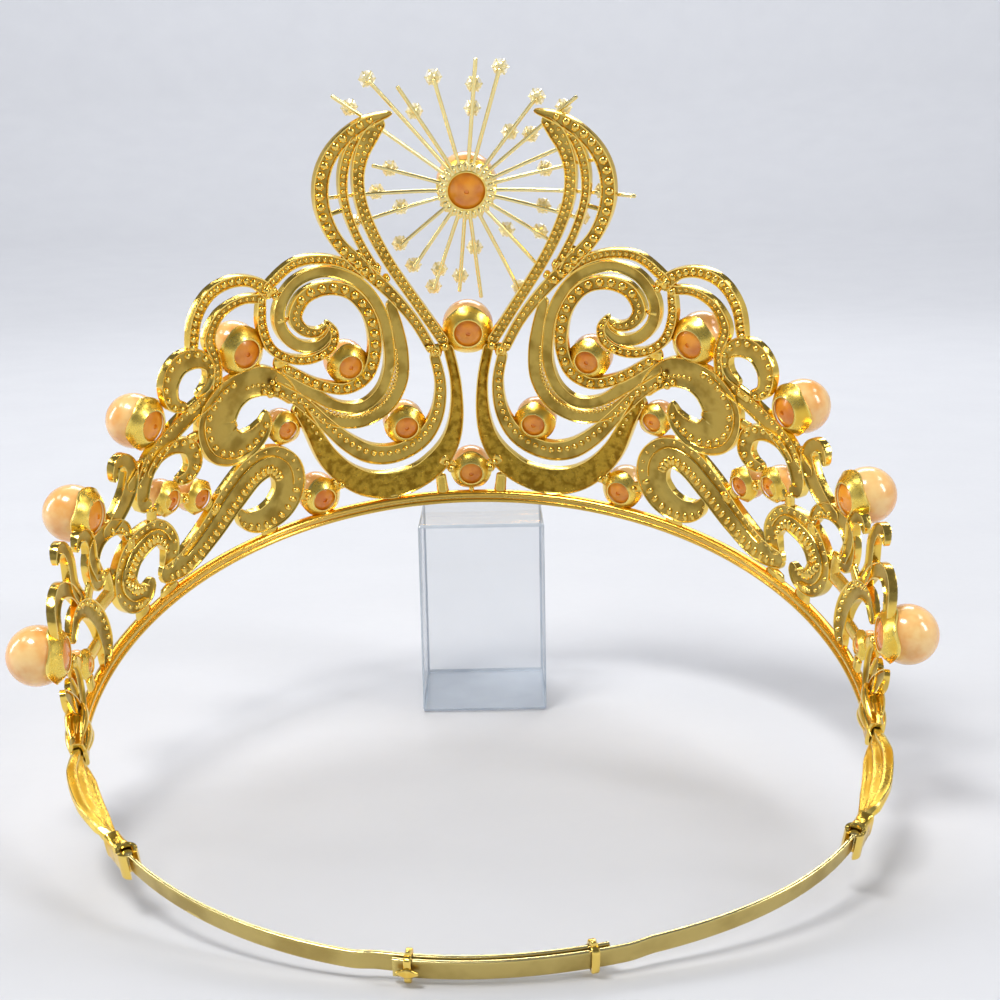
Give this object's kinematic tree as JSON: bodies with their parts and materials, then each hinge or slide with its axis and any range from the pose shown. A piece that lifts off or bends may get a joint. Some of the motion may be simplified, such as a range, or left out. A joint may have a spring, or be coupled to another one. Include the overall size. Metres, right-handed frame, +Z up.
{
  "type": "pageant crown on a clear display block",
  "caption": "Gilt pageant crown: cast openwork volutes with orange pearls in cups, a spray of rhinestone wires and an adjustable strap, leaning on a clear display block.",
  "frame": {"origin": "on the floor, under the middle of the bounding box", "axes": "+Z up, +Y towards the crown's decorated front, +X to the right in the picture, which looks along +Y at the crown's inner side"},
  "size_m": [0.1808, 0.158, 0.1521],
  "materials": {
    "cast_gold": "gilt casting, satin recesses and polished rims",
    "bright_gold": "gilt, polished",
    "pearl": "pearlescent orange",
    "clear_acrylic": "clear, polished"
  },
  "bodies": {
    "root": {"collar_left": "bright_gold", "collar_right": "bright_gold", "display_block": "clear_acrylic", "front_clip_left": "bright_gold", "front_clip_right": "bright_gold", "front_openwork": "cast_gold", "leaf_link_left": "bright_gold", "leaf_link_right": "bright_gold", "pearl_base_left": "pearl", "pearl_base_right": "pearl", "pearl_bowl_left": "pearl", "pearl_bowl_right": "pearl", "pearl_crest_left": "pearl", "pearl_crest_right": "pearl", "pearl_end_left": "pearl", "pearl_end_right": "pearl", "pearl_end_small_left": "pearl", "pearl_end_small_right": "pearl", "pearl_hub": "pearl", "pearl_leaf_left": "pearl", "pearl_leaf_right": "pearl", "pearl_lower": "pearl", "pearl_shoulder_left": "pearl", "pearl_shoulder_right": "pearl", "pearl_side_left": "pearl", "pearl_side_right": "pearl", "pearl_tail_large_left": "pearl", "pearl_tail_large_right": "pearl", "pearl_tail_small_left": "pearl", "pearl_tail_small_right": "pearl", "pearl_upper": "pearl", "pearl_volute_left": "pearl", "pearl_volute_right": "pearl", "ray_burst": "bright_gold", "rear_clip_left": "bright_gold", "rear_clip_right": "bright_gold", "strap_left": "bright_gold", "strap_right": "bright_gold"}
  },
  "joints": []
}
